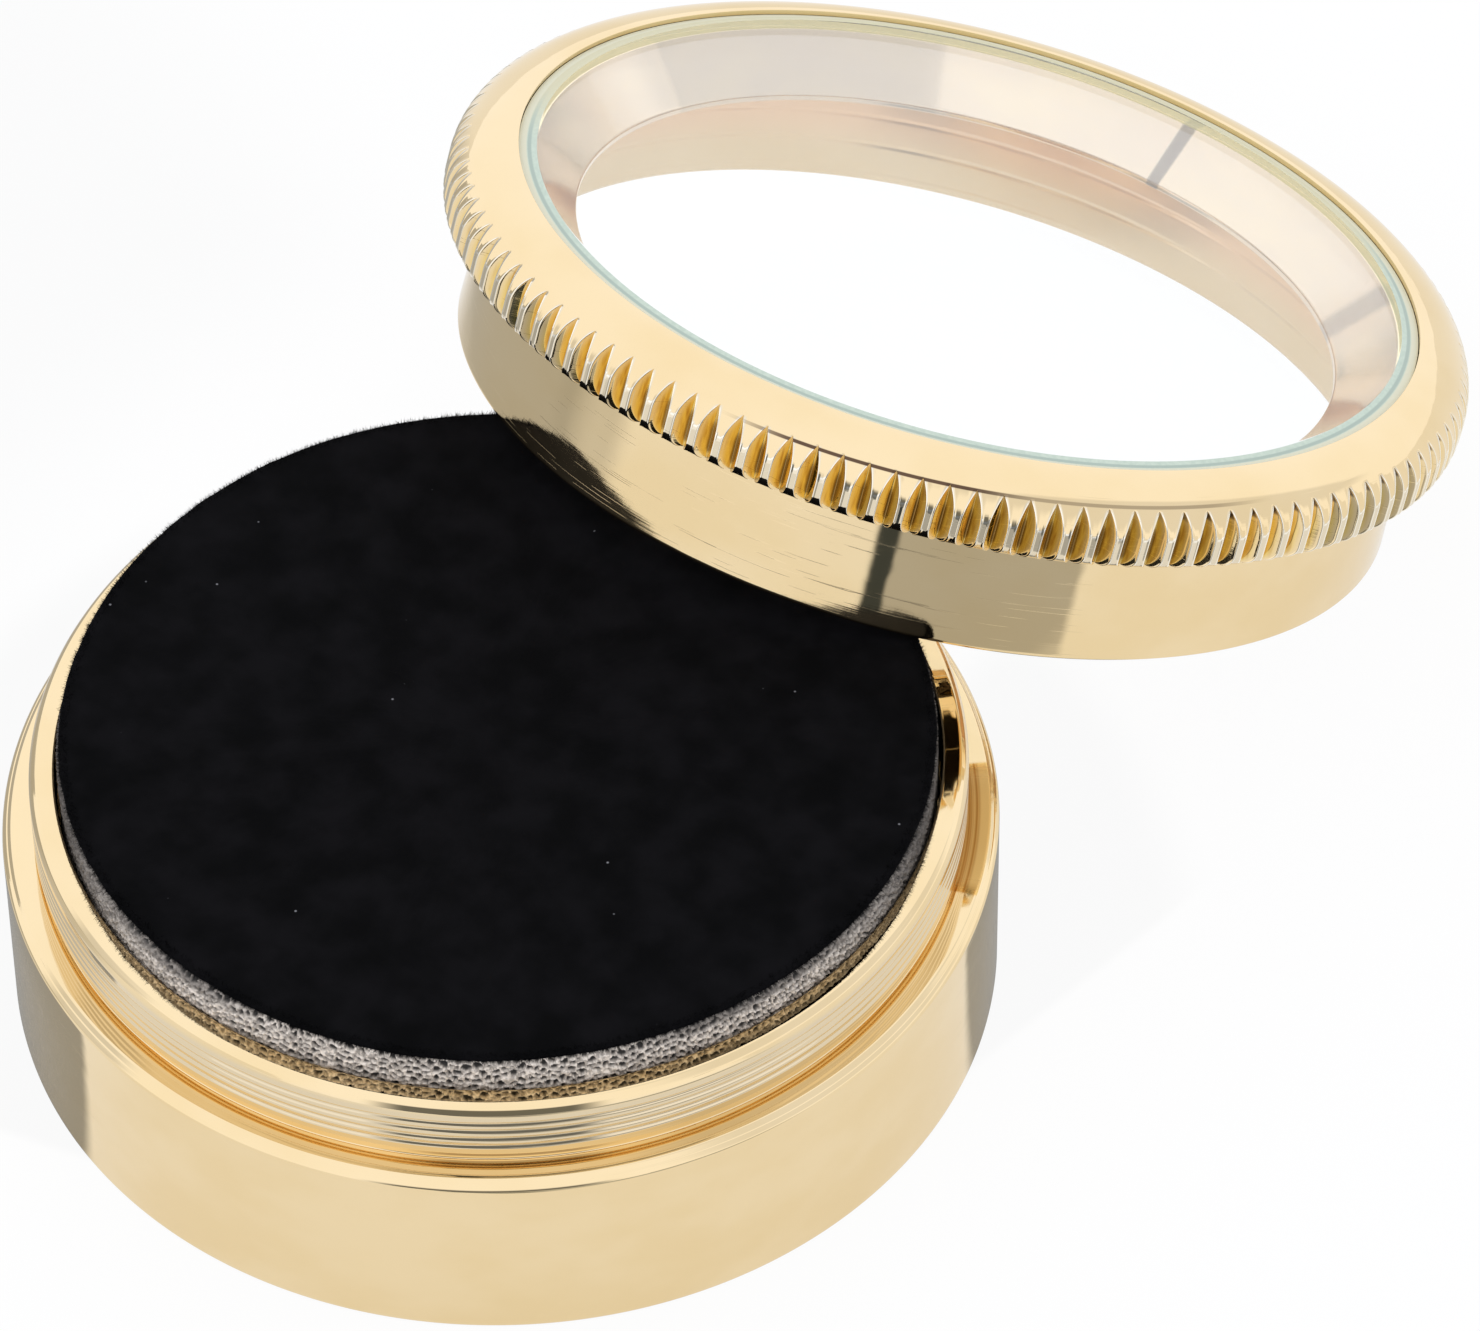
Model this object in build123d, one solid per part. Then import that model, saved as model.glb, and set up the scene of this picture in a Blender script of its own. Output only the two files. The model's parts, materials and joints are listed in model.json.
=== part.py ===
"""Round display box for one small gemstone: a gold-plated cup with a soft pad,
and a screw lid with a window, shown off the cup and leaning on the pad.

All sizes are in millimetres. +Z is up. The origin is the centre of the cup's
underside, on the table, and +Y points to the side that the lid leans over.
"""
import os
from math import acos, asin, cos, degrees, radians, sin, sqrt

from build123d import *

# Cup, from its bore outwards
bore_radius = 16.25         # inside of the cup, which sets the size of the pad
neck_wall = 0.95            # from the bore to the neck that takes the lid's thread
floor_thickness = 1.2
foot_chamfer = 0.3          # edge that the cup stands on
shoulder_height = 7.7       # ledge that the lid's skirt lands on
shoulder_chamfer = 0.35     # edge between the outer wall and the ledge
neck_height = 3.05          # from the ledge to the polished rim
rim_chamfer = 0.2
relief_depth = 0.15         # turned groove at the neck's foot
relief_width = 0.4

# Pad: grey foam under a black velvet disc
foam_gap = 0.2              # between the foam's side and the bore
velvet_gap = 0.15           # between the velvet's edge and the bore
pad_proud = 1.25            # height of the velvet's edge above the rim
velvet_thickness = 0.4
velvet_edge = 0.15          # turned over at the velvet's edge
pad_crown = 0.25            # how much the pad swells from its edge to its middle
crown_slope = 4.0           # width of the slope around the flat middle of the pad

# Lid ring, measured up from the bottom of its skirt
skirt_height = 4.85         # to the underside of the knurled flange
skirt_wall = 1.0
skirt_chamfer = 0.15
skirt_taper = 0.2           # how much the skirt's outside narrows up to the flange
thread_clearance = 0.15     # between the neck and the inside of the skirt
mouth_chamfer = 0.3
flange_overhang = 1.65      # from the skirt out to the knurl's ridges
flange_chamfer = 0.5        # lower edge of the knurled flange
flange_wall = 1.05          # from the flange's underside to where the dome starts
lid_height = 7.8
dome_width = 2.3            # from the ridges in to where the dome is level
dome_lip = 0.05             # flat left between the dome and the window's bore

# Knurl: pointed grooves around the flange that run out on the dome
flute_count = 122
flute_depth = 0.55
flute_share = 0.72          # part of the pitch that the mouth of a groove takes
runout_margin = 3.0         # angle from the grooves' tips to the plain dome

# Window: clear glass over a bevelled seat ring, both dropped in from above
window_clearance = 0.05     # around the glass and the seat ring, and under the ring
glass_thickness = 1.0
glass_bevel = 0.5           # width of the glass's ground edge
glass_drop = 0.3            # how far down its side the ground edge reaches
glass_recess = 0.05         # glass top below the top of the lid
seat_height = 2.15
seat_width = 2.7            # from the ring's outside in to its sight opening
seat_land = 0.7             # flat that carries the glass, at the top of the bevel
seat_lip = 0.25             # upright lower edge of the bevel

# How the open lid leans: one edge on the table, the other across the pad
lean_angle = 37.0           # from +Y to where the skirt crosses the pad's edge
lean_side = 1.15            # lid's centre to the left of the cup's
lean_gap = 0.35             # between the skirt and the velvet, for its pile

# Sizes that follow from the ones above
neck_radius = bore_radius + neck_wall
rim_height = shoulder_height + neck_height
foam_radius = bore_radius - foam_gap
velvet_radius = bore_radius - velvet_gap
pad_height = rim_height + pad_proud
foam_top = pad_height - velvet_thickness
thread_bore = neck_radius + thread_clearance
skirt_radius = thread_bore + skirt_wall
body_radius = skirt_radius          # the closed box has one smooth side
flange_radius = skirt_radius + flange_overhang
dome_inside = flange_radius - dome_width
dome_start = skirt_height + flange_wall
dome_rise = lid_height - dome_start
window_bore = dome_inside - dome_lip
window_radius = window_bore - window_clearance
sight_radius = window_radius - seat_width
glass_top = lid_height - glass_recess
glass_bottom = glass_top - glass_thickness
seat_bottom = glass_bottom - seat_height
step_height = seat_bottom - window_clearance


def turned(*edges):
    """One full turn about Z of the closed outline that the edges make.

    The edges are drawn flat, with x as the radius and y as the height.
    """
    section = make_face(Wire(list(edges)))
    return revolve(Plane.XZ * section, Axis.Z)


def straight(*points):
    """The straight edges from each (radius, height) point to the next."""
    return [Line(start, end) for start, end in zip(points, points[1:])]


def leaning():
    """Where the open lid lies, as a place for the middle of its skirt's lower edge.

    The skirt's lower edge is a circle. Its lowest point is on the table, and it
    crosses the edge of the pad at lean_angle, lean_gap above the velvet.
    """
    contact_x = velvet_radius * sin(radians(lean_angle))
    contact_y = velvet_radius * cos(radians(lean_angle))
    across = contact_x + lean_side
    along = sqrt(skirt_radius**2 - across**2)
    tilt = asin((pad_height + lean_gap) / (skirt_radius + along))
    centre = (-lean_side, contact_y + along * cos(tilt), skirt_radius * sin(tilt))
    return Location(centre, (-degrees(tilt), 0, 0))


def base_cup():
    """Turned cup: outer wall, ledge, relief groove, neck, rim, bore and floor."""
    relief_radius = neck_radius - relief_depth
    return turned(*straight(
        (0, 0),
        (body_radius - foot_chamfer, 0),
        (body_radius, foot_chamfer),
        (body_radius, shoulder_height - shoulder_chamfer),
        (body_radius - shoulder_chamfer, shoulder_height),
        (relief_radius, shoulder_height),
        (relief_radius, shoulder_height + relief_width),
        (neck_radius, shoulder_height + relief_width),
        (neck_radius, rim_height - rim_chamfer),
        (neck_radius - rim_chamfer, rim_height),
        (bore_radius, rim_height),
        (bore_radius, floor_thickness),
        (0, floor_thickness),
        (0, 0),
    ))


def foam_pad():
    """Plain disc of foam that fills the cup and stands above its rim."""
    return turned(*straight(
        (0, floor_thickness),
        (foam_radius, floor_thickness),
        (foam_radius, foam_top),
        (0, foam_top),
        (0, floor_thickness),
    ))


def velvet_disc():
    """Velvet disc on the foam: a flat middle that slopes to a turned edge."""
    return turned(*straight(
        (0, foam_top),
        (velvet_radius, foam_top),
        (velvet_radius, pad_height - velvet_edge),
        (velvet_radius - velvet_edge, pad_height),
        (velvet_radius - velvet_edge - crown_slope, pad_height + pad_crown),
        (0, pad_height + pad_crown),
        (0, foam_top),
    ))


def flutes():
    """The knurl's grooves: upright prisms with a pointed root, set in a circle."""
    pitch = 360 / flute_count
    half_mouth = flange_radius * radians(pitch) * flute_share / 2
    root = flange_radius - flute_depth
    reach = 2 * flute_depth
    spread = half_mouth * reach / flute_depth
    section = make_face(Polyline(
        (root, 0), (root + reach, spread), (root + reach, -spread), close=True))
    prism = extrude(section, lid_height + 1)
    return [Rot(0, 0, turn * pitch) * prism for turn in range(flute_count)]


def on_dome(angle):
    """The (radius, height) point at an angle up the quarter ellipse of the dome."""
    across = dome_width * cos(radians(angle))
    up = dome_rise * sin(radians(angle))
    return dome_inside + across, dome_start + up


def lid_ring():
    """Lid ring in its own place: skirt, knurled flange, dome and stepped bore.

    The dome is a quarter ellipse. Between the grooves, up to just above where
    they run out, a plain slope stands for it.
    """
    groove_end = degrees(acos(1 - flute_depth / dome_width))
    slope_end = groove_end + runout_margin
    dome = EllipticalCenterArc(
        (dome_inside, dome_start),
        dome_width,
        dome_rise,
        start_angle=slope_end,
        arc_size=90 - slope_end,
    )
    ring = turned(
        *straight(
            (dome_inside, lid_height),
            (window_bore, lid_height),
            (window_bore, step_height),
            (thread_bore, step_height),
            (thread_bore, mouth_chamfer),
            (thread_bore + mouth_chamfer, 0),
            (skirt_radius - skirt_chamfer, 0),
            (skirt_radius, skirt_chamfer),
            (skirt_radius - skirt_taper, skirt_height),
            (flange_radius - flange_chamfer, skirt_height),
            (flange_radius, skirt_height + flange_chamfer),
            on_dome(0),
            on_dome(slope_end),
        ),
        dome,
    )
    return ring - flutes()


def seat_ring():
    """Bevelled ring under the glass, narrowing to the sight opening."""
    land_radius = window_radius - seat_land
    return turned(*straight(
        (sight_radius, seat_bottom),
        (window_radius, seat_bottom),
        (window_radius, glass_bottom),
        (land_radius, glass_bottom),
        (sight_radius, seat_bottom + seat_lip),
        (sight_radius, seat_bottom),
    ))


def window_glass():
    """Flat glass disc with a ground bevel around its upper edge."""
    return turned(*straight(
        (0, glass_bottom),
        (window_radius, glass_bottom),
        (window_radius, glass_top - glass_drop),
        (window_radius - glass_bevel, glass_top),
        (0, glass_top),
        (0, glass_bottom),
    ))


lid_place = leaning()
pieces = {
    "base_cup": base_cup(),
    "foam_pad": foam_pad(),
    "velvet_disc": velvet_disc(),
    "lid_ring": lid_place * lid_ring(),
    "seat_ring": lid_place * seat_ring(),
    "window_glass": lid_place * window_glass(),
}

os.makedirs("parts", exist_ok=True)
for name, piece in pieces.items():
    export_step(piece, f"parts/{name}.step")
print("lid centre", lid_place.position, "turned", lid_place.orientation)
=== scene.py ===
"""Round gem box, gold plated: the threaded cup with its foam and velvet pad, and the
knurled screw lid with a glass window, off the cup and leaning on the pad.
"""
import json
from math import acos, atan2, cos, pi, radians, sin, sqrt

import bpy
import numpy as np
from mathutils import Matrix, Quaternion, Vector


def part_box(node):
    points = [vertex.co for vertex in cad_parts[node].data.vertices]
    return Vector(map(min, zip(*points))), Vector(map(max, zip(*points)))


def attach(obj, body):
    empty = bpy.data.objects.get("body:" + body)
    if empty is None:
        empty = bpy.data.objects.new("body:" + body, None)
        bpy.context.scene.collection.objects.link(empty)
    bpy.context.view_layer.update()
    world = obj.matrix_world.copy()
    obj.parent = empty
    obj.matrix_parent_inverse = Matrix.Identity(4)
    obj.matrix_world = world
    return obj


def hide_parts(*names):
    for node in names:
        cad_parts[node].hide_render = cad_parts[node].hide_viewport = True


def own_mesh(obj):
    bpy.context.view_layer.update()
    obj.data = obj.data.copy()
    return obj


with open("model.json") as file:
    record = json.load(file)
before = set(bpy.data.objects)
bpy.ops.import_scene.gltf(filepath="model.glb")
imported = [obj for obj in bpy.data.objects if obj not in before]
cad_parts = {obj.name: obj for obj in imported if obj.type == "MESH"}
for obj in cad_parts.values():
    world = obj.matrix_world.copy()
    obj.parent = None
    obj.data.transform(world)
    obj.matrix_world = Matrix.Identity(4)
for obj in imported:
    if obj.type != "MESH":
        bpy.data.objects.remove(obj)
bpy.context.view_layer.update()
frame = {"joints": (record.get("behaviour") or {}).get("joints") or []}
MM = 0.001

# Camera
# The box is seen from about a third of a metre away, 47 degrees down, with the lid
# behind the cup and to its right. The long lens keeps the circles nearly even.
camera_place = Vector((148.42, -166.08, 253.13)) * MM
camera_look = Vector((-0.43452, 0.52700, -0.73038))
camera_roll = radians(-0.69)
sensor_width = 36.0
focal_pixels = 9000
photo_width = 1480

camera = bpy.data.objects.new("camera", bpy.data.cameras.new("camera"))
camera.rotation_mode = "QUATERNION"
camera.location = camera_place
level_turn = camera_look.to_track_quat("-Z", "Y")
camera.rotation_quaternion = level_turn @ Quaternion((0, 0, 1), camera_roll)
camera.data.sensor_width = sensor_width
camera.data.lens = sensor_width * focal_pixels / photo_width
camera.data.clip_start = 0.01
bpy.context.scene.collection.objects.link(camera)
bpy.context.scene.camera = camera

# Cup
# Turned from brass bar and plated pale gold, then polished: a plain wall, a broken
# shoulder edge, a narrow ledge, and a neck with a fine thread above a relief groove.
cup_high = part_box("base_cup")[1]
wall_radius = cup_high.x / MM
rim_height = cup_high.z / MM
ledge_height = 7.9
neck_radius = 17.2
relief_depth = 0.15
relief_width = 0.4
shoulder_chamfer = 0.35
shoulder_break = ((0.16, 0.18), (0.20, 0.17))   # in from the wall and down from the ledge
bore_radius = 16.25
bore_floor = 1.2
cup_sides = 600
thread_pitch = 0.4
thread_depth = 0.07
thread_flank = 0.13
thread_low = ledge_height + relief_width + 0.1
thread_high = rim_height - 0.65
thread_step = 0.03
facet_width, facet_height = 0.30, 0.41      # of the rim's whole outer edge
break_width, break_height = 0.11, 0.19      # where its two facets meet


def outline(corners, steps=5):
    """Points of an outline whose corners are round.

    Each corner is (radius, height, reach). Its curve leaves both sides at that reach
    and is (1 - s)^2 before + 2 s (1 - s) corner + s^2 after, for s from 0 to 1. One
    more point at 1.5 times the reach keeps the long sides flat under smooth shading.
    """
    corners = np.array(corners, float)
    points, reaches = corners[:, :2], corners[:, 2]
    s = np.linspace(0, 1, steps)[:, None]
    parts = [points[:1]]
    for before, corner, after, reach in zip(points, points[1:], points[2:], reaches[1:]):
        back = reach * (before - corner) / np.linalg.norm(before - corner)
        on = reach * (after - corner) / np.linalg.norm(after - corner)
        curve = (1 - s) ** 2 * (corner + back) + 2 * s * (1 - s) * corner
        curve = curve + s**2 * (corner + on)
        parts += [corner[None] + 1.5 * back, curve, corner[None] + 1.5 * on]
    return np.concatenate(parts + [points[-1:]])


def ring(radius, height, angles):
    """Points (radius cos angle, radius sin angle, height) for an array of angles."""
    z = np.broadcast_to(height, angles.shape)
    return np.stack([radius * np.cos(angles), radius * np.sin(angles), z], axis=1)


def around(count):
    """Equal angles for one full turn."""
    return np.arange(count) * (2 * pi / count)


def skin(name, rings, closed=False, place=None):
    """Mesh object through a list of rings of points, in millimetres.

    Faces join each ring to the next. A ring of one point is a pole. Where one ring
    has a whole number of times the points of the other, each wide face takes in the
    extra ones. place is (3x3 turn, centre) for the finished points.
    """
    counts = [len(r) for r in rings]
    starts = np.concatenate([[0], np.cumsum(counts)])
    faces = []
    for a in range(len(rings) if closed else len(rings) - 1):
        b = (a + 1) % len(rings)
        if 1 in (counts[a], counts[b]):
            face_count = max(counts[a], counts[b])
        else:
            face_count = min(counts[a], counts[b])
        cells = np.arange(face_count)[:, None]
        step_a, step_b = counts[a] // face_count, counts[b] // face_count
        lower = starts[a] + (cells * step_a + np.arange(step_a + 1)) % counts[a]
        upper = starts[b] + (cells * step_b + np.arange(step_b, -1, -1)) % counts[b]
        faces.append(np.concatenate([lower, upper], axis=1))
    points = np.concatenate(rings)
    if place is not None:
        points = points @ place[0].T + place[1]
    sizes = np.concatenate([np.full(len(f), f.shape[1]) for f in faces])
    corners = np.concatenate([f.ravel() for f in faces])
    mesh = bpy.data.meshes.new(name)
    mesh.vertices.add(len(points))
    mesh.vertices.foreach_set("co", (points * MM).astype(np.float32).ravel())
    mesh.loops.add(len(corners))
    mesh.loops.foreach_set("vertex_index", corners.astype(np.int32))
    mesh.polygons.add(len(sizes))
    first = np.concatenate([[0], np.cumsum(sizes)[:-1]])
    mesh.polygons.foreach_set("loop_start", first.astype(np.int32))
    mesh.update(calc_edges=True)
    mesh.validate()
    mesh.shade_smooth()
    made = bpy.data.objects.new(name, mesh)
    bpy.context.scene.collection.objects.link(made)
    return made


def fade(low, high, x):
    """0 below low, 1 above high, and 3 t^2 - 2 t^3 between."""
    t = np.clip((x - low) / (high - low), 0, 1)
    return t * t * (3 - 2 * t)


def thread_cut(height, angles, pitch, flank, low, high):
    """Depth share of a screw thread, 0 on a crest and 1 in a root.

    The groove is a helix that climbs one pitch a turn. From its root the share falls in
    a straight line to 0 at the distance flank, and it fades out at both ends.
    """
    turns = height / pitch - angles / (2 * pi)
    away = np.abs(turns - np.round(turns)) * pitch
    ends = fade(low, low + pitch / 2, height) * (1 - fade(high - pitch / 2, high, height))
    return ends * np.maximum(0, 1 - away / flank)


cup_angles = around(cup_sides)
cup_foot = outline([
    (0, 0, 0),
    (wall_radius, 0, 0.2),
    (wall_radius, ledge_height - shoulder_chamfer, 0.1),
    *[(wall_radius - inward, ledge_height - down, 0.012) for inward, down in shoulder_break],
    (wall_radius - shoulder_chamfer, ledge_height, 0.05),
    (neck_radius - relief_depth, ledge_height, 0.06),
    (neck_radius - relief_depth, ledge_height + relief_width, 0.05),
    (neck_radius, ledge_height + relief_width, 0.05),
    (neck_radius, rim_height, 0),
])[:-1]
cup_thread = [(neck_radius, z) for z in np.arange(thread_low, thread_high, thread_step)]
cup_top = outline([
    (neck_radius, thread_high, 0),
    (neck_radius, rim_height - facet_height, 0.04),
    (neck_radius - break_width, rim_height - break_height, 0.05),
    (neck_radius - facet_width, rim_height, 0.06),
    (bore_radius, rim_height, 0.08),
    (bore_radius, bore_floor, 0.1),
    (0, bore_floor, 0),
])[1:]
cup_rings = []
for radius, height in [*cup_foot, *cup_thread, *cup_top]:
    if radius < 0.001:
        cup_rings.append(ring(0, height, np.zeros(1)))
        continue
    cut = 0.0
    if abs(radius - neck_radius) < 0.001:
        cut = thread_depth * thread_cut(
            height, cup_angles, thread_pitch, thread_flank, thread_low, thread_high)
    cup_rings.append(ring(radius - cut, height, cup_angles))
cup = skin("cup", cup_rings)


class Wire:
    """One output of a material's nodes. Sums on wires add Math nodes."""

    def __init__(self, socket):
        self.socket = socket

    def node(self, kind, settings=None, inputs=None, output=0):
        """Adds a node: its settings first, then the values or wires of its sockets."""
        tree = self.socket.id_data
        made = tree.nodes.new("ShaderNode" + kind)
        for name, value in (settings or {}).items():
            if name == "stops":
                while len(made.color_ramp.elements) < len(value):
                    made.color_ramp.elements.new(0.5)
                for stop, (position, colour) in zip(made.color_ramp.elements, value):
                    stop.position = position
                    stop.color = (*colour, 1)
            else:
                setattr(made, name, value)
        for name, value in (inputs or {}).items():
            if isinstance(value, Wire):
                tree.links.new(value.socket, made.inputs[name])
            else:
                made.inputs[name].default_value = value
        return Wire(made.outputs[output])

    def math(self, operation, *values):
        """A Math node on the given values or wires."""
        return self.node("Math", {"operation": operation}, dict(enumerate(values)))

    def __add__(self, other):
        return self.math("ADD", self, other)

    def __sub__(self, other):
        return self.math("SUBTRACT", self, other)

    def __rsub__(self, other):
        return self.math("SUBTRACT", other, self)

    def __mul__(self, other):
        return self.math("MULTIPLY", self, other)

    def __pow__(self, other):
        return self.math("POWER", self, other)

    __radd__ = __add__
    __rmul__ = __mul__

    def most(self, other):
        """The larger of this wire and another value or wire."""
        return self.math("MAXIMUM", self, other)

    def between(self, low, high):
        """0 below low, 1 above high, and smooth between."""
        settings = {"interpolation_type": "SMOOTHSTEP"}
        return self.node("MapRange", settings, {0: self, 1: low, 2: high})

    def band(self, low, low_full, high_full, high):
        """1 from low_full to high_full, and smooth from there to 0 at low and at high."""
        return self.between(low, low_full) * (1 - self.between(high_full, high))

    def pick(self, first, second):
        """The first colour where this wire is 0, the second where it is 1."""
        inputs = {0: self, 6: first, 7: second}
        return self.node("Mix", {"data_type": "RGBA"}, inputs, output=2)

    def noise(self, stretch, detail=2.0, roughness=0.5):
        """Noise from 0 to 1 whose grain is 1 / stretch millimetres along each axis."""
        scaled = self.node("VectorMath", {"operation": "MULTIPLY"}, {0: self, 1: stretch})
        inputs = {"Vector": scaled, "Scale": 1.0, "Detail": detail, "Roughness": roughness}
        return self.node("TexNoise", None, inputs)

    def bump(self, height_mm, before=None):
        """Normal of a surface that this wire lifts by up to height_mm."""
        inputs = {"Strength": 1.0, "Distance": height_mm * MM, "Height": self}
        if before is not None:
            inputs["Normal"] = before
        return self.node("Bump", None, inputs)


def finish(name, centre=(0, 0, 0), turn=(0, 0, 0), **constant):
    """A material with a Principled shader, and places on the piece in millimetres.

    centre and turn say where the piece's own axes lie in the frame.
    """
    material = bpy.data.materials.new(name)
    material.use_nodes = True
    tree = material.node_tree
    shader = tree.nodes["Principled BSDF"]
    for socket, value in constant.items():
        shader.inputs[socket.replace("_", " ")].default_value = value
    seed = Wire(tree.nodes.new("ShaderNodeTexCoord").outputs["Object"])
    own = seed.node("Mapping", {"vector_type": "TEXTURE"},
                    {"Vector": seed, "Location": centre, "Rotation": turn})
    place = seed.node("VectorMath", {"operation": "SCALE"}, {0: own, "Scale": 1 / MM})
    return material, shader, place


def feed(shader, socket, wire):
    """Links a wire to one of the shader's sockets."""
    wire.socket.id_data.links.new(wire.socket, shader.inputs[socket])


def bearing(east, north, edges, soft):
    """1 where the bearing of (east, north) lies between two edges in degrees, else 0."""
    turned = east.math("ARCTAN2", north, east) * (180 / pi)
    low, high = edges
    return turned.between(low - soft, low + soft) * (1 - turned.between(high - soft, high + soft))


pale_gold = (0.89, 0.71, 0.43, 1)
deep_gold = (0.86, 0.67, 0.38, 1)
dust_and_shade_brown = (0.55, 0.46, 0.34, 1)
worn_gold = (0.78, 0.65, 0.44, 1)
ledge_orange = (0.50, 0.22, 0.03, 1)
ledge_pale = (0.84, 0.54, 0.18, 1)
relief_painted_shade = (0.16, 0.09, 0.03, 1)


def spot(place):
    """East, north and height of a place."""
    return [place.node("SeparateXYZ", None, {0: place}, output=axis) for axis in "XYZ"]


def span(east, north):
    """Distance of a place from the upright axis."""
    return (east * east + north * north) ** 0.5


def gold_plate(name, marks, centre=(0, 0, 0), turn=(0, 0, 0)):
    """Polished gold plating with faint turning lines and hairline scratches.

    marks adds the piece's own marks: it takes the places on the piece and the colour so
    far, and returns the colour and how much of the surface is dull with a dusty film or stain.
    """
    material, shader, place = finish(name, centre, turn)
    cloud = place.noise((0.18, 0.18, 0.3), 3.0)
    colour, dull = marks(place, cloud.between(0.35, 0.7).pick(pale_gold, deep_gold))
    feed(shader, "Base Color", colour)
    feed(shader, "Metallic", 1 - dull)
    lines = place.noise((0.05, 0.05, 9.0), 3.0, 0.6)
    haze = place.noise((1.6, 1.6, 2.2), 4.0, 0.65)
    feed(shader, "Roughness", 0.035 + 0.05 * lines * haze.between(0.4, 0.75) + 0.3 * dull)
    swirl = place.noise((0.35, 0.35, 0.5), 2.0)
    hairs = place.noise((0.22, 0.22, 14.0), 1.0).between(0.66, 0.72)
    turning = hairs.bump(0.0009, lines.bump(0.0006))
    feed(shader, "Normal", swirl.bump(0.012, turning))
    return material


# Where the marks lie: four values say where one begins, is full, begins to fade and ends
worn_heights = (ledge_height + 0.4, ledge_height + 0.5, rim_height - 0.55, rim_height - 0.25)
worn_out = (neck_radius - 0.2, neck_radius - 0.15)
relief_heights = [ledge_height + step for step in (0.10, 0.16, 0.37, 0.42)]
relief_out = [neck_radius - step for step in (0.3, 0.2, 0.08, 0.04)]
relief_shade_bearings = (-59, -38)
dust_and_shade_bearings = ((24, 54), (-146, -114))
dust_and_shade_top = (5.0, 7.3)
dust_and_shade_out = (wall_radius - 0.35, wall_radius - 0.15)
stain_heights = [ledge_height + step for step in (-0.05, -0.02, 0.02, 0.05)]
stain_bearings = (25, 44)
stain_out = (neck_radius - 0.1, neck_radius)
stain_pale_out = (neck_radius + 0.35, neck_radius + 0.5)


def cup_marks(place, colour):
    """Worn neck, painted shade in the relief groove, dusty wall ends with a painted dark
    reflection, a stain on the ledge.
    """
    east, north, up = spot(place)
    out = span(east, north)
    neck = up.band(*worn_heights) * out.between(*worn_out)
    colour = neck.pick(colour, worn_gold)
    # Painted shade: the relief groove is painted dark brown on the side that faces the camera.
    relief = up.band(*relief_heights) * out.band(*relief_out)
    relief = 0.6 * relief * bearing(east, north, relief_shade_bearings, 4)
    colour = relief.pick(colour, relief_painted_shade)
    # Dust and painted shade: both ends of the wall, which mirror the shaded table, are painted
    # brown, mottled and dull.
    ends = bearing(east, north, dust_and_shade_bearings[0], 9) + bearing(east, north, dust_and_shade_bearings[1], 9)
    wall = ends * (1 - up.between(*dust_and_shade_top)) * out.between(*dust_and_shade_out)
    dust_and_shade = 0.6 * wall * place.noise((4, 4, 2.5), 5.0, 0.8).between(0.3, 0.8)
    ledge = up.band(*stain_heights) * out.between(*stain_out)
    stain = 0.8 * ledge * bearing(east, north, stain_bearings, 1.5)
    streak = out.node("TexNoise", {"noise_dimensions": "1D"}, {"W": out, "Scale": 5.0})
    pale = streak.between(0.35, 0.65).most(out.between(*stain_pale_out))
    colour = stain.between(0, 0.1).pick(colour, pale.pick(ledge_orange, ledge_pale))
    return (dust_and_shade * 1.6).pick(colour, dust_and_shade_brown), dust_and_shade.most(stain)


cup.data.materials.append(gold_plate("cup_gold", cup_marks))
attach(cup, "cup")
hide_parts("base_cup")

# Foam
# Grey open-cell foam, cut to a disc and pushed into the cup. Its side shows above the
# rim as a net of thin struts around dark cells.
foam_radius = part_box("foam_pad")[1].x / MM
pad_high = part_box("velvet_disc")[1]
foam_show = rim_height - 0.6                # where its open cells start
velvet_depth = 0.27
foam_height = pad_high.z / MM - velvet_depth
cell_size = 0.31
cell_depth = 0.24
fine_depth = 0.05
foam_edge_round = 0.25
strut_dark = (0.50, 0.44, 0.38, 1)
strut_pale = (1.0, 0.90, 0.79, 1)
strut_sheltered = (0.05, 0.042, 0.036, 1)
pit_painted_shade = (0.05, 0.046, 0.042, 1)
open_side = (-108, 4)                       # bearings where light reaches the foam
open_top = (-85, -28)                       # and its upper part, under the velvet's edge
upper_heights = (11.3, 11.7)
foam_sides = 1530
foam_rows = 34


def cells(u, v, size, across, seed):
    """Distance to the border between the nearest two cells of a jittered grid.

    u runs round the side and repeats after `across` cells, v runs up. Each cell holds
    one random point; the result is the second nearest distance less the nearest.
    """
    jitter = np.random.default_rng(seed).random((across, 64, 2))
    nearest, second = np.full(u.shape, 9.0), np.full(u.shape, 9.0)
    column, row = np.floor(u / size).astype(int), np.floor(v / size).astype(int)
    for i in (-2, -1, 0, 1, 2):
        for j in (-2, -1, 0, 1, 2):
            c, r = column + i, row + j
            dot = jitter[c % across, r % 64]
            gap = np.hypot((c + dot[..., 0]) * size - u, (r + dot[..., 1]) * size - v)
            second = np.minimum(second, np.maximum(gap, nearest))
            nearest = np.minimum(nearest, gap)
    return second - nearest


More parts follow.
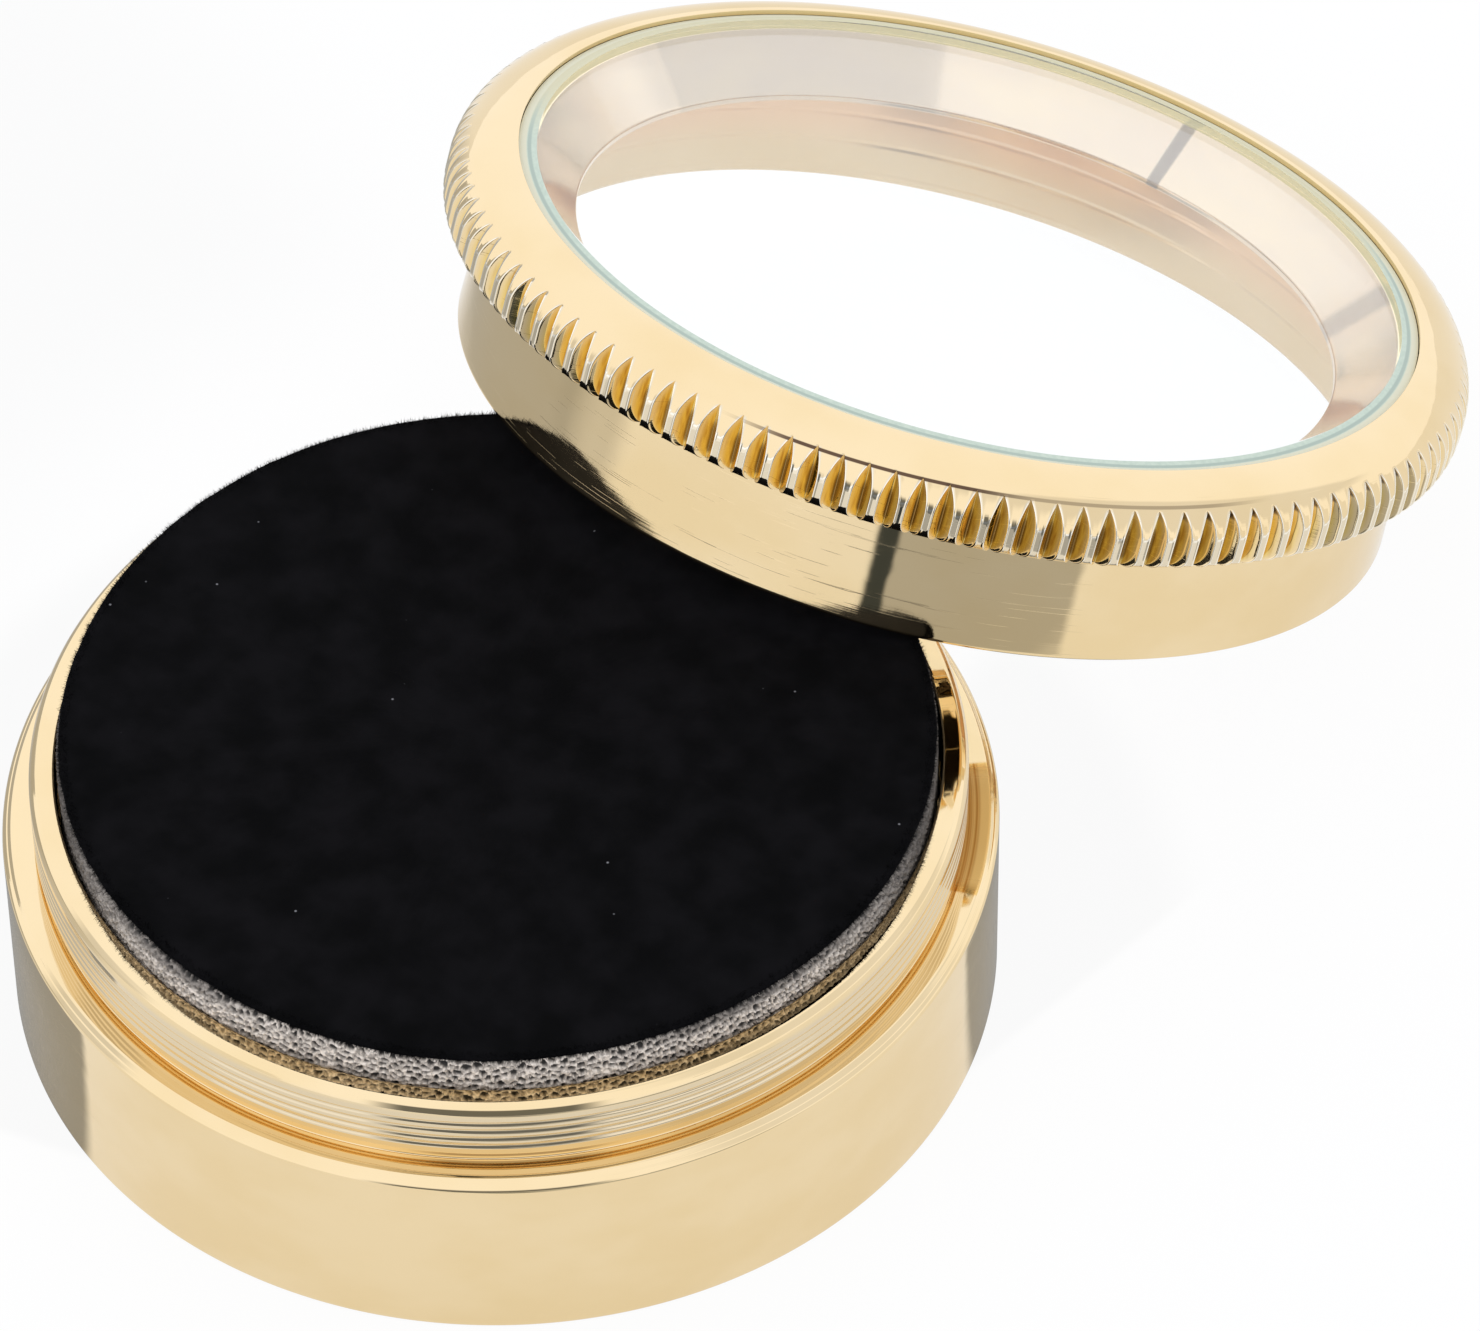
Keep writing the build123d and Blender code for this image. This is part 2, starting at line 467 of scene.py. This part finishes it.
foam_round = int(2 * pi * foam_radius / cell_size)
foam_angles = around(foam_sides)
foam_levels = np.linspace(foam_show, foam_height, foam_rows)
along, up = np.meshgrid(foam_angles / (2 * pi) * foam_round * cell_size, foam_levels)
pits = fade(0.03, 0.13, cells(along, up, cell_size, foam_round, 3))
fine = fade(0.0, 0.1, cells(along, up, cell_size / 2, foam_round * 2, 5))
pit_depth = cell_depth * pits + fine_depth * fine
wave = 0.05 * np.sin(3 * foam_angles + 1) + 0.03 * np.sin(7 * foam_angles)
foam_rings = [ring(0, bore_floor, np.zeros(1)), ring(foam_radius, bore_floor, foam_angles)]
for level, depth in zip(foam_levels, pit_depth):
    tuck = 0.12 * fade(foam_height - foam_edge_round, foam_height, level)
    foam_rings.append(ring(foam_radius - depth - tuck + wave + 0.05, level, foam_angles))
foam_rings.append(ring(0, foam_height, np.zeros(1)))
foam = skin("foam", foam_rings)
shade = np.zeros(len(foam.data.vertices), np.float32)
shade[1 + foam_sides:1 + foam_sides * (foam_rows + 1)] = (pits * 0.75 + fine * 0.25).ravel()
foam.data.attributes.new("pit", "FLOAT", "POINT").data.foreach_set("value", shade)

foam_finish, foam_shader, foam_place = finish("foam_grey", Roughness=0.75)
pit = foam_place.node("Attribute", {"attribute_name": "pit"}, output="Fac")
grain = foam_place.noise((7, 7, 7), 2.0)
strut = grain.between(0.35, 0.6).pick(strut_dark, strut_pale)
east, north, up = spot(foam_place)
sheltered = (1 - bearing(east, north, open_side, 18)) * 0.9
upper = (1 - bearing(east, north, open_top, 8)) * up.between(*upper_heights)
sheltered = sheltered.most(0.7 * upper)
strut = sheltered.pick(strut, strut_sheltered)
# Painted shade: the pits between the struts are painted near black.
feed(foam_shader, "Base Color", pit.between(0.15, 0.7).pick(strut, pit_painted_shade))
foam.data.materials.append(foam_finish)
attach(foam, "cup")
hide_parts("foam_pad")
press = next(j for j in frame["joints"] if j["name"] == "pad_press")["range_m"][0] / MM
foam_keep = 1 + press / (foam_height - bore_floor)
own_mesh(foam)

# Velvet
# Black flocked velvet glued on the foam and cut with it. Its pile makes the edge
# fuzzy, and a little lint lies on it.
velvet_radius = pad_high.x / MM
velvet_crown = pad_high.z / MM
velvet_edge_height = velvet_crown - 0.1
velvet_sides = 480
pile_count = 15000
pile_length = 0.3
pile_width = 0.028
nap_black = (0.002, 0.002, 0.0022, 1)
nap_worn = (0.0055, 0.0052, 0.006, 1)
lint_grey = (0.2, 0.2, 0.21, 1)

velvet_angles = around(velvet_sides)
ragged = np.random.default_rng(11).normal(0, 1, velvet_sides)
ragged = np.convolve(np.tile(ragged, 3), np.hanning(7) / 3.0, "same")[velvet_sides:-velvet_sides]
edge_wave = 0.05 * np.sin(2 * velvet_angles + 2) + 0.03 * np.sin(5 * velvet_angles)
edge_wave = edge_wave + 0.018 * ragged - 0.08
velvet_rings = [ring(0, foam_height - 0.02, np.zeros(1))]
for share, height in [(0.985, foam_height - 0.02), (0.996, foam_height + 0.04),
                      (1.0, velvet_edge_height - 0.09), (0.996, velvet_edge_height - 0.03),
                      (0.985, velvet_edge_height)]:
    velvet_rings.append(ring(velvet_radius * share + edge_wave, height, velvet_angles))
for share in np.linspace(0.965, 0.02, 40):
    lift = 0.1 * (1 - share**2)
    nap = 0.012 * np.random.default_rng(int(share * 1000)).normal(0, 1, velvet_sides)
    radius = velvet_radius * share + edge_wave * share**2
    velvet_rings.append(ring(radius, velvet_edge_height + lift + nap * share, velvet_angles))
velvet_rings.append(ring(0, velvet_crown, np.zeros(1)))
velvet = skin("velvet", velvet_rings)


def pile(name, count, seed):
    """Short fibres that stand out of the velvet's edge.

    Each is a thin three-sided spike: a root triangle across the fibre's direction and
    one tip. The direction is out and up with a random lean.
    """
    draw = np.random.default_rng(seed)
    turn = draw.uniform(0, 2 * pi, count)
    climb = draw.uniform(-0.1, 1.0, count)
    radius = velvet_radius - 0.10 - 0.45 * np.maximum(climb - 0.55, 0)
    radius = radius + np.interp(turn, velvet_angles, edge_wave, period=2 * pi)
    low, high = foam_height + 0.02, velvet_edge_height - 0.02
    root = ring(radius, low + (high - low) * np.clip(climb, 0, 1), turn)
    out = np.stack([np.cos(turn), np.sin(turn), np.zeros(count)], axis=1)
    lean = draw.normal(0, 0.55, (count, 3))
    way = out * (1.1 - climb)[:, None] + np.array([0, 0, 0.75]) * climb[:, None] + lean
    way = way / np.linalg.norm(way, axis=1, keepdims=True)
    side = np.cross(way, draw.normal(0, 1, (count, 3)))
    side = side / np.linalg.norm(side, axis=1, keepdims=True)
    other = np.cross(way, side)
    length = pile_length * draw.uniform(0.45, 1.0, count)[:, None]
    corners = [root + pile_width / 2 * (cos(a) * side + sin(a) * other)
               for a in (0, 2 * pi / 3, 4 * pi / 3)]
    points = np.stack([*corners, root + length * way], axis=1).reshape(-1, 3) * MM
    first = np.arange(count)[:, None] * 4
    faces = np.concatenate([first + f for f in ([2, 1, 0], [0, 1, 3], [1, 2, 3], [2, 0, 3])])
    mesh = bpy.data.meshes.new(name)
    mesh.from_pydata(points.tolist(), [], faces.tolist())
    made = bpy.data.objects.new(name, mesh)
    bpy.context.scene.collection.objects.link(made)
    return made


velvet_pile = pile("velvet_pile", pile_count, 8)
velvet_finish, velvet_shader, velvet_place = finish(
    "velvet_black", Roughness=0.95, Specular_IOR_Level=0.05, Sheen_Weight=0.02,
    Sheen_Roughness=0.35)
mottle = velvet_place.noise((0.5, 0.5, 0.5), 4.0)
nap_colour = mottle.between(0.3, 0.75).pick(nap_black, nap_worn)
spots = velvet_place.node("TexVoronoi", {"feature": "F1"}, {"Vector": velvet_place, "Scale": 0.7})
rare = velvet_place.noise((0.45, 0.45, 0.45), 0.0).between(0.50, 0.52)
lint = (1 - spots.between(0.015, 0.045)) * rare
feed(velvet_shader, "Base Color", lint.pick(nap_colour, lint_grey))
for piece in (velvet, velvet_pile):
    piece.data.materials.append(velvet_finish)
    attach(piece, "pad_top")
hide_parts("velvet_disc")

# Lid ring
# Turned and plated like the cup. The skirt slides over the neck; above it stands a
# flange with 122 pointed grooves, cut upright so that they run out on the dome.
lid_joint = next(j for j in frame["joints"] if j["name"] == "lid_turn")
lid_centre = Vector(lid_joint["pos_m"])
lid_tilt = atan2(lid_joint["axis"][1], lid_joint["axis"][2])
lid_turn = (-lid_tilt, 0, 0)
lid_matrix = np.array([
    [1, 0, 0],
    [0, cos(lid_tilt), sin(lid_tilt)],
    [0, -sin(lid_tilt), cos(lid_tilt)],
])
lid_place = (lid_matrix, np.array(lid_centre) / MM)
skirt_radius = wall_radius
skirt_height = 4.85
skirt_taper = 0.2
thread_clearance = 0.15
thread_bore = neck_radius + thread_clearance
flange_radius = 20.0
flange_chamfer = 0.5
flange_wall = 1.05                          # up to where the dome starts
dome_start = skirt_height + flange_wall
lid_height = 7.8
dome_rise = lid_height - dome_start
dome_width = 2.3
dome_inside = flange_radius - dome_width
dome_lip = 0.05
window_bore = dome_inside - dome_lip
step_height = 4.55                          # of the step that carries the seat ring
flute_count = 122
flute_depth = 0.55
flute_share = 0.72
flute_root = flange_radius - flute_depth
half_pitch = pi / flute_count
flute_slope = flute_depth / (flange_radius * half_pitch * flute_share)
groove_shares = np.array([0, 0.15, 0.5, 0.82, 0.94, 1.0])
ridge_shares = np.array([0.3, 0.7, 1.0])
lip_height = 0.035
lip_fade = 0.1                              # depth of groove over which its lip rises
# Painted highlight: a pale line along the ridges' tops, this far above the dome's start, less at
# the sides, and this wide.
highlight_line, highlight_fall = 0.42, 0.2            # above the dome's start, and less at the sides
highlight_width = 0.05
coarse_sides = flute_count * 2
lid_pitch = 1.2
lid_thread_depth = 0.03
lid_thread_flank = 0.09
lid_thread_low = 0.4
lid_thread_step = 0.06
mouth_round = 0.25


def groove_edge(radius):
    """Half the angle of a groove's mouth where the ring has this radius.

    A groove side is the plane r cos a = root + slope r sin a, which meets the radius
    where sqrt(1 + slope^2) cos(a + atan slope) = root / radius.
    """
    reach = flute_root / max(radius, flute_root) / sqrt(1 + flute_slope**2)
    return max(acos(reach) - atan2(flute_slope, 1), 0.03 * half_pitch)


def knurled(radius, height):
    """One ring of the flange, with its points gathered at the edges of the grooves.

    Returns the points, how deep each lies in a groove, and the painted highlight of each:
    1 on the rim of a groove, 0.5 on a ridge and 0.9 along the ridge's top.
    """
    edge = groove_edge(radius)
    half = np.concatenate([edge * groove_shares, edge + (half_pitch - edge) * ridge_shares])
    own = np.concatenate([half, -half[-2:0:-1]])
    side = flute_root / (np.cos(own) - flute_slope * np.sin(np.abs(own)))
    depth = np.minimum(radius, side)
    lip = np.zeros(len(half))
    lip[len(groove_shares) - 1] = min(1.0, (radius - flute_root) / lip_fade)
    lip = np.maximum(np.concatenate([lip, lip[-2:0:-1]]), 0)
    across = np.clip((np.abs(own) - edge) / (half_pitch - edge), 0, 1)
    ridge_top = dome_start + highlight_line - highlight_fall * across
    on_line = np.abs(height - ridge_top) < highlight_width
    ridge = np.where(on_line, 0.9, 0.5 * (height < ridge_top))
    painted_light = np.where((np.abs(own) >= edge) & (lip == 0), ridge, lip)
    turns = np.arange(flute_count)[:, None] * 2 * half_pitch
    angles = (turns + np.where(own < 0, own + 2 * half_pitch, own)).ravel()
    points = ring(np.tile(depth + lip * lip_height, flute_count), height, angles)
    carved = np.tile((radius - depth) / flute_depth, flute_count)
    return points, carved, np.tile(painted_light, flute_count)


def on_dome(angle):
    """Point at an angle up the quarter ellipse of the dome."""
    return dome_inside + dome_width * cos(angle), dome_start + dome_rise * sin(angle)


runout = acos((flute_root - dome_inside) / dome_width)     # angle at the grooves' tips
lid_angles = around(coarse_sides)
lid_rings = [ring(r, z, lid_angles) for r, z in outline([
    (thread_bore + mouth_round, 0, 0),
    (skirt_radius, 0, 0.12),
    (skirt_radius - skirt_taper, skirt_height, 0.03),
    (flange_radius - flange_chamfer - 0.12, skirt_height, 0),
])]
skirt_points = len(lid_rings) * coarse_sides
flange_rows = [
    (flange_radius - flange_chamfer * (1 - sin(turn)),
     skirt_height + flange_chamfer * (1 - cos(turn)))
    for turn in np.linspace(0, pi / 2, 9)
]
flange_rows += [(flange_radius, dome_start - down) for down in (0.4, 0.2)]
flange_rows += [on_dome(angle) for angle in np.linspace(0, runout, 17)]
flange_rows += [on_dome(runout + radians(0.7))]
knurl_rings = [knurled(radius, height) for radius, height in flange_rows]
lid_rings += [points for points, carved, painted_light in knurl_rings]
for angle in np.linspace(runout + radians(1.6), pi / 2, 18):
    lid_rings.append(ring(*on_dome(angle), lid_angles))
lid_inner = outline([
    (dome_inside, lid_height, 0),
    (window_bore, lid_height, 0.02),
    (window_bore, step_height, 0.05),
    (thread_bore, step_height, 0.05),
    (thread_bore, 0, mouth_round),
    (thread_bore + mouth_round, 0, 0),
])[1:-1]
lid_rings += [ring(r, z, lid_angles) for r, z in lid_inner if z > lid_thread_low]
for z in np.arange(lid_thread_low, step_height - 0.1, lid_thread_step)[::-1]:
    cut = lid_thread_depth * thread_cut(
        z, lid_angles, lid_pitch, lid_thread_flank, lid_thread_low - 0.1, step_height)
    lid_rings.append(ring(thread_bore + cut, z, lid_angles))
lid_rings += [ring(r, z, lid_angles) for r, z in lid_inner if z <= lid_thread_low]
lid = skin("lid", lid_rings, closed=True, place=lid_place)
for name, shares in (("groove", [carved for points, carved, painted_light in knurl_rings]),
                     ("rim", [painted_light for points, carved, painted_light in knurl_rings])):
    marks = np.zeros(len(lid.data.vertices), np.float32)
    shares = np.concatenate(shares)
    marks[skirt_points:skirt_points + len(shares)] = shares
    lid.data.attributes.new(name, "FLOAT", "POINT").data.foreach_set("value", marks)

groove_gold = (0.86, 0.62, 0.20, 1)
groove_brown = (0.66, 0.42, 0.12, 1)
groove_root_shade = (0.34, 0.20, 0.06, 1)
ridge_highlight_grey = (0.80, 0.70, 0.52, 1)
rim_highlight = (1.0, 0.94, 0.80, 1)
painted_dark_brown = (0.13, 0.08, 0.05, 1)
inner_peach = (0.97, 0.64, 0.38, 1)
line_angle = 35
line_bearing = -77
line_climb = 0.2
line_band = (-2.4, -1.4, 1.4, 2.4)
line_ends = (-78, -22)
line_bold = (-85, -50)
tip_heights = (6.72, 6.86)
tip_bearings = (-30, 55)


def lid_marks(place, colour):
    """Deep gold with painted shade in the grooves, painted shade at their tips, painted
    highlights on the rims and ridges, and a satin inside.

    A dark line of painted reflection runs along the tips, where the angle up the dome is
    line_angle at line_bearing, and line_climb of a degree more for each degree of bearing.
    """
    east, north, up = spot(place)
    out = span(east, north)
    groove = place.node("Attribute", {"attribute_name": "groove"}, output="Fac")
    rim = place.node("Attribute", {"attribute_name": "rim"}, output="Fac")
    # Painted shade: the grooves are painted a deeper gold with brown streaks, and dark in their
    # roots.
    streak = place.noise((6, 6, 1), 2.0).between(0.45, 0.7)
    colour = groove.between(0.05, 0.6).pick(colour, streak.pick(groove_gold, groove_brown))
    colour = groove.between(0.7, 0.95).pick(colour, groove_root_shade)
    # Painted shade: the grooves' tips are painted dark brown over the tip_bearings.
    tips = 0.85 * groove.between(0.01, 0.1) * up.between(*tip_heights)
    colour = (tips * bearing(east, north, tip_bearings, 6)).pick(colour, painted_dark_brown)
    # Painted highlights: the ridges are painted greyer, and the grooves' rims and the ridges'
    # tops pale.
    colour = rim.between(0, 0.5).pick(colour, ridge_highlight_grey)
    colour = rim.between(0.5, 0.9).pick(colour, rim_highlight)
    # Painted reflection: a dark line along the tips, bolder over line_bold, and fading out beyond
    # line_ends.
    climb = (up - dome_start) * (1 / dome_rise)
    reach = (out - dome_inside) * (1 / dome_width)
    angle = climb.math("ARCTAN2", climb, reach) * (180 / pi)
    turned = east.math("ARCTAN2", north, east) * (180 / pi)
    offset = angle - line_angle - line_climb * (turned - line_bearing)
    line = offset.band(*line_band) * bearing(east, north, line_ends, 5)
    line = line * (0.5 + 0.5 * bearing(east, north, line_bold, 4))
    colour = (line * (1 - groove.between(0, 0.1))).pick(colour, painted_dark_brown)
    inside = 1 - out.between(thread_bore + 0.03, thread_bore + 0.08)
    inside = inside * (1 - up.between(step_height - 0.1, step_height))
    colour = (0.85 * inside * up.between(1.0, 3.2)).pick(colour, inner_peach)
    return colour, 0.4 * inside


lid.data.materials.append(gold_plate("lid_gold", lid_marks, lid_centre, lid_turn))
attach(lid, "lid")
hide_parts("lid_ring")

# Seat ring
# A separate bevelled ring under the glass, polished and paler than the gold: it
# carries the glass on its narrow land and narrows to the sight opening.
seat_gap = 0.05                             # around the ring and under it
seat_height = 2.15
seat_width = 2.7
seat_outside = window_bore - seat_gap
seat_low = step_height + seat_gap
seat_high = seat_low + seat_height
sight_radius = seat_outside - seat_width
seat_land = 0.7
seat_lip = 0.25
champagne = (0.89, 0.74, 0.54, 1)
champagne_deep = (0.84, 0.70, 0.54, 1)
reflection_grey = (0.10, 0.10, 0.11, 1)
land_reflection_glow = (0.40, 0.38, 0.23, 1)
painted_reflections = ((0.62, (92.6, 94.6), 0.25), (0.38, (44.5, 49.5), 1.2), (0.16, (129, 174), 0.8))
seat_angles = around(360)
seat_rows = outline([
    (sight_radius + 1, seat_low, 0),
    (seat_outside, seat_low, 0.05),
    (seat_outside, seat_high, 0.03),
    (seat_outside - seat_land, seat_high, 0.06),
    (sight_radius, seat_low + seat_lip, 0.08),
    (sight_radius, seat_low, 0.05),
    (sight_radius + 1, seat_low, 0),
])[1:]
seat = skin("seat", [ring(r, z, seat_angles) for r, z in seat_rows], True, lid_place)
seat_finish, seat_shader, seat_space = finish(
    "seat_metal", lid_centre, lid_turn, Metallic=1.0, Emission_Strength=1.0)
seat_cloud = seat_space.noise((0.2, 0.2, 0.5), 2.0)
seat_colour = seat_cloud.between(0.3, 0.7).pick(champagne, champagne_deep)
east, north, up = spot(seat_space)
out = span(east, north)
# Painted reflection: dark grey streaks at fixed bearings, for dark things mirrored in the
# polished ring.
for strength, edges, soft in painted_reflections:
    streak = strength * bearing(east, north, edges, soft)
    seat_colour = streak.pick(seat_colour, reflection_grey)
feed(seat_shader, "Base Color", seat_colour)
seat_lines = seat_space.noise((0.3, 0.3, 12.0), 2.0)
feed(seat_shader, "Roughness", 0.08 + 0.08 * seat_lines)
# Painted reflection: the narrow land glows faintly olive, for the glass's ground edge mirrored in
# it.
land_edge = seat_outside - seat_land
land = up.between(seat_high - 0.03, seat_high - 0.01) * out.between(land_edge - 0.06, land_edge)
feed(seat_shader, "Emission Color", land.pick((0, 0, 0, 1), land_reflection_glow))
seat.data.materials.append(seat_finish)
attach(seat, "window")
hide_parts("seat_ring")

# Window glass
# A flat clear disc with a ground edge, dropped in from above. The ground edge looks pale
# green, because the light in it comes through the width of the glass; that light is painted
# into its colour, with a teal band on the near side, a cream outer line and olive on the far
# side.
glass_radius = window_bore - 0.01
glass_low = seat_high + 0.002
glass_high = lid_height - 0.05
glass_bevel = 0.7
glass_drop = 0.15
sage_dark = (0.50, 0.60, 0.50, 1)
sage_pale = (0.60, 0.69, 0.58, 1)
sage_olive = (0.66, 0.63, 0.43, 1)
sage_teal = (0.40, 0.49, 0.42, 1)
edge_cream = (0.72, 0.71, 0.54, 1)
far_east, far_north = -0.67, 0.74           # way to the window's far side
teal_out = [glass_radius - step for step in (0.52, 0.46, 0.38, 0.32)]
cream_out = (glass_radius - 0.36, glass_radius - 0.28)
glass_angles = around(360)
glass_rows = outline([
    (0, glass_low, 0),
    (glass_radius, glass_low, 0.03),
    (glass_radius, glass_high - glass_drop, 0.03),
    (glass_radius - glass_bevel, glass_high, 0.03),
    (0, glass_high, 0),
])
glass_rings = [ring(max(r, 0), z, glass_angles if r > 0 else np.zeros(1)) for r, z in glass_rows]
glass = skin("glass", glass_rings, place=lid_place)
glass_finish, glass_shader = finish(
    "clear_glass", lid_centre, lid_turn, IOR=1.5, Transmission_Weight=1.0, Roughness=0.0,
    Base_Color=(0.99, 1.0, 0.995, 1))[:2]
glass_rays = glass_finish.node_tree.nodes.new("ShaderNodeLightPath").outputs
lets_through = Wire(glass_rays["Is Shadow Ray"]).most(Wire(glass_rays["Is Diffuse Ray"]))
feed(glass_shader, "Alpha", 1 - 0.92 * lets_through)
ground_finish, ground_shader, ground_space = finish(
    "ground_glass", lid_centre, lid_turn, IOR=1.5)
ground_grain = ground_space.noise((6, 6, 6), 3.0)
east, north = spot(ground_space)[:2]
out = span(east, north)
sage = ground_grain.between(0.2, 0.8).pick(sage_dark, sage_pale)
# Painted light: the far side of the ground edge is painted olive, and the teal band is left off
# it.
far = (far_east * east + far_north * north).between(1, 7)
sage = far.pick(sage, sage_olive)
sage = (out.band(*teal_out) * (1 - far)).pick(sage, sage_teal)
feed(ground_shader, "Base Color", out.between(*cream_out).pick(sage, edge_cream))
feed(ground_shader, "Roughness", 0.4 + 0.2 * ground_grain)
glass.data.materials.append(glass_finish)
glass.data.materials.append(ground_finish)
face_normals = np.zeros(len(glass.data.polygons) * 3, np.float32)
glass.data.polygons.foreach_get("normal", face_normals)
flatness = np.abs(face_normals.reshape(-1, 3) @ lid_matrix[:, 2])
ground = (flatness > 0.5) & (flatness < 0.995)
glass.data.polygons.foreach_set("material_index", ground.astype(np.int32))
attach(glass, "window")
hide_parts("window_glass")

# Floor and light
# A white table in a bright room; camera rays see the table nearly white. Its colour holds
# painted shade: darker on the side that the camera stands on, with a sharp left edge, on the
# left, and to the west. The room's light is darker on the camera's side as well, and one tall
# screen behind the box is a little less bright.
table_half = 1.5
table_painted_shade = (0.01, 0.02, 0.025, 1)
table_white = (0.93, 0.93, 0.93, 1)
pure_white = (1, 1, 1, 1)
box_middle = (6, 11, 0)
beyond_box = (32, 50)
camera_side = (-65, -12)
dark_edge = (-65, -60.3)
left_side = (-152, -131)
west_side = (-22, 33)
left_edge = (-5, -17.6, -74)
right_edge = (17.4, 5.7, 174)


def beside(east, north, edge):
    """How far a place lies to one side of a straight edge on the table.

    The edge is (x, y, turn): a point on it, and the bearing at right angles to it.
    """
    x, y, turn = edge
    return cos(radians(turn)) * (east - x) + sin(radians(turn)) * (north - y)


floor_mesh = bpy.data.meshes.new("floor")
floor_mesh.from_pydata(
    [(x * table_half, y * table_half, 0) for x, y in ((-1, -1), (1, -1), (1, 1), (-1, 1))],
    [], [(0, 1, 2, 3)])
floor = bpy.data.objects.new("floor", floor_mesh)
bpy.context.scene.collection.objects.link(floor)
floor_finish, floor_shader, floor_space = finish("floor_white", Roughness=0.6)
from_box = floor_space.node(
    "VectorMath", {"operation": "SUBTRACT"}, {0: floor_space, 1: box_middle})
east, north = spot(from_box)[:2]
away = span(east, north)
# Painted shade on the table's colour: a dim patch to the west, and beyond the box on the camera's
# side, the left side and a sharp dark edge.
west = bearing(0 - east, 0 - north, west_side, 9) * away.between(30, 42)
floor_shade = 1 - 0.5 * west
for strength, edges, soft in (
        (0.5, camera_side, 1.5), (0.3, left_side, 4), (0.96, dark_edge, 0.7)):
    side = bearing(east, north, edges, soft) * away.between(*beyond_box)
    floor_shade = floor_shade * (1 - strength * side)
# Two straight-edged painted shadows on the table, close by, which the ends of the cup's wall
# mirror
east, north = spot(floor_space)[:2]
near = 1 - span(east, north).between(24, 27)
left_painted_shadow = 1 - beside(east, north, left_edge).between(-0.4, 0.2)
left_painted_shadow = left_painted_shadow * (1 - east.between(-6, -4))
right_painted_shadow = beside(east, north, right_edge).between(-0.2, 0.4)
right_painted_shadow = right_painted_shadow * east.between(4, 6) * north.between(2, 4)
floor_shade = floor_shade * (1 - 0.63 * near * left_painted_shadow) * (1 - 0.6 * near * right_painted_shadow)
floor_colour = floor_shade.pick(table_painted_shade, table_white)
feed(floor_shader, "Base Color", floor_colour)
floor_tree = floor_finish.node_tree
rays = floor_tree.nodes.new("ShaderNodeLightPath").outputs
seen = Wire(rays["Is Camera Ray"]).most(Wire(rays["Is Transmission Ray"]))
white = seen.node(
    "Emission", None, {"Color": seen.pick(floor_colour, pure_white), "Strength": 1.0})
share = (seen * 0.93).most(Wire(rays["Is Glossy Ray"]) * 0.75)
mixed = share.node("MixShader", None, {0: share, 1: Wire(floor_shader.outputs[0]), 2: white})
floor_tree.links.new(mixed.socket, floor_tree.nodes["Material Output"].inputs["Surface"])
floor_mesh.materials.append(floor_finish)

room_dark = (0.01, 0.02, 0.025, 1)
room_bright = (1.12, 1.14, 1.21, 1)
behind_camera = (-75, -32)
world = bpy.data.worlds.new("soft_room")
bpy.context.scene.world = world
world.use_nodes = True
room = world.node_tree
background = room.nodes["Background"]
way = Wire(room.nodes.new("ShaderNodeTexCoord").outputs["Generated"])
east, north, rise = spot(way)
back_screen = east.between(0.33, 0.40) * north.between(-0.3, 0.0) * rise.between(0.15, 0.25)
low_down = 1 - rise.between(0.28, 0.50)
dark_wall = 0.85 * low_down * bearing(east, north, behind_camera, 5)
left_wall = 0.3 * low_down * bearing(east, north, left_side, 4)
shade = (1 - dark_wall) * (1 - left_wall) * (1 - 0.2 * back_screen)
tone = shade.pick(room_dark, room_bright)
seen = Wire(room.nodes.new("ShaderNodeLightPath").outputs["Is Camera Ray"])
room.links.new(seen.pick(tone, pure_white).socket, background.inputs["Color"])

bpy.context.scene.view_settings.view_transform = "Standard"
